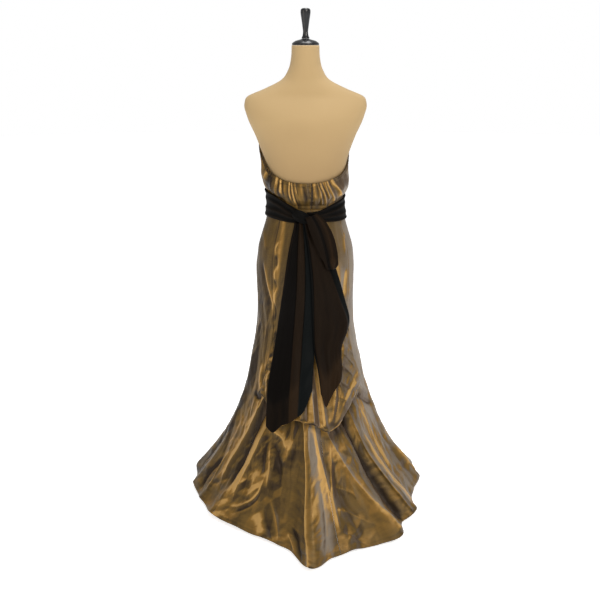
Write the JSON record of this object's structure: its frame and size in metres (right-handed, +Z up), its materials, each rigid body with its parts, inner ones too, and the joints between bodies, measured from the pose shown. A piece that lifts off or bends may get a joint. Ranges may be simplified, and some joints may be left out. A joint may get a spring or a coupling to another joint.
{
  "type": "evening gown on dress form",
  "caption": "Strapless low-backed evening gown with a fitted skirt, bustled back, train and tied sash, on a limbless dress form with a stand.",
  "frame": {"origin": "centre of the underside of the stand's round base, on the floor, on the axis of its pole", "axes": "+Z up along the pole; -Y towards the back of the gown and its train; +Y towards the front of the gown; +X to the right of somebody looking at the back"},
  "size_m": [0.8134, 0.9301, 1.6205],
  "materials": {
    "shot_taffeta": "crisp shot taffeta, gold-bronze crossed with lilac-grey, soft sheen",
    "sash_satin": "near-black brown satin",
    "zip_tape": "closed zip in dull bronze tape",
    "form_jersey": "matt cream cotton jersey, stretched smooth",
    "black_lacquer": "turned wood, black lacquer, semi-gloss",
    "stand_steel": "satin black paint"
  },
  "bodies": {
    "root": {"back_zip": "zip_tape", "bodice_back_left": "shot_taffeta", "bodice_back_right": "shot_taffeta", "bodice_front": "shot_taffeta", "form_finial": "black_lacquer", "form_neck_cap": "black_lacquer", "form_torso": "form_jersey", "neckline_edge": "shot_taffeta", "sash_band": "sash_satin", "sash_knot": "sash_satin", "sash_loop": "sash_satin", "sash_tail_left": "sash_satin", "sash_tail_right": "sash_satin", "skirt_back_left": "shot_taffeta", "skirt_back_right": "shot_taffeta", "skirt_front": "shot_taffeta", "skirt_side_left": "shot_taffeta", "skirt_side_right": "shot_taffeta", "stand_base": "stand_steel", "stand_collar": "stand_steel", "stand_pole": "stand_steel", "train_left": "shot_taffeta", "train_right": "shot_taffeta"}
  },
  "joints": []
}
